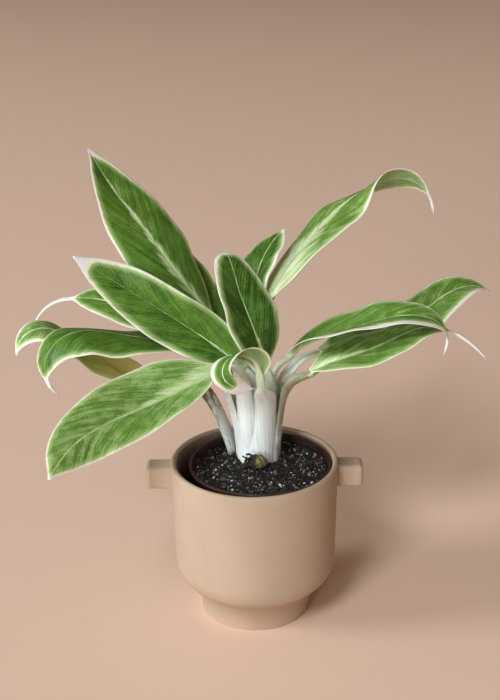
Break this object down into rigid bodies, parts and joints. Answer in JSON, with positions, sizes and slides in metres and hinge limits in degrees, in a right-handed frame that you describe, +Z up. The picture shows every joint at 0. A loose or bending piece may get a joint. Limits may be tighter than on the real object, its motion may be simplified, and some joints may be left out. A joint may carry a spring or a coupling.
{
  "type": "potted chinese evergreen",
  "caption": "Low foliage plant with long variegated leaves on a clump of pale stalks, rooted in a grower's pot inside a round footed planter with lug handles.",
  "frame": {"origin": "middle of the planter's foot, on the surface it stands on", "axes": "+Z up, +X along the planter's two lug handles, the front toward -Y"},
  "size_m": [0.4229, 0.2673, 0.3985],
  "materials": {
    "stoneware": "matt beige stoneware, unglazed look",
    "pot_plastic": "dark brown satin plastic",
    "potting_mix": "damp peat and bark fines with white perlite",
    "stalk": "smooth white to pale green stalk skin with fine streaks",
    "dried_sheath": "dull olive-brown dried sheath",
    "leaf_blade": "satin variegated leaf, green with cream-white margins and a pale middle"
  },
  "bodies": {
    "root": {"planter": "stoneware", "nursery_pot": "pot_plastic", "potting_mix": "potting_mix", "stem_clump": "stalk", "old_stub": "dried_sheath", "leaf_upper_left": "leaf_blade", "leaf_back_left_small": "leaf_blade", "leaf_left_middle": "leaf_blade", "leaf_left_thread_tip": "leaf_blade", "leaf_far_left": "leaf_blade", "leaf_left_drooping": "leaf_blade", "leaf_front_left": "leaf_blade", "leaf_front_curled": "leaf_blade", "leaf_centre_upright": "leaf_blade", "leaf_back_right_small": "leaf_blade", "leaf_upper_right_twisted": "leaf_blade", "leaf_right_middle": "leaf_blade", "leaf_right_lower": "leaf_blade", "leaf_far_right": "leaf_blade"}
  },
  "joints": []
}
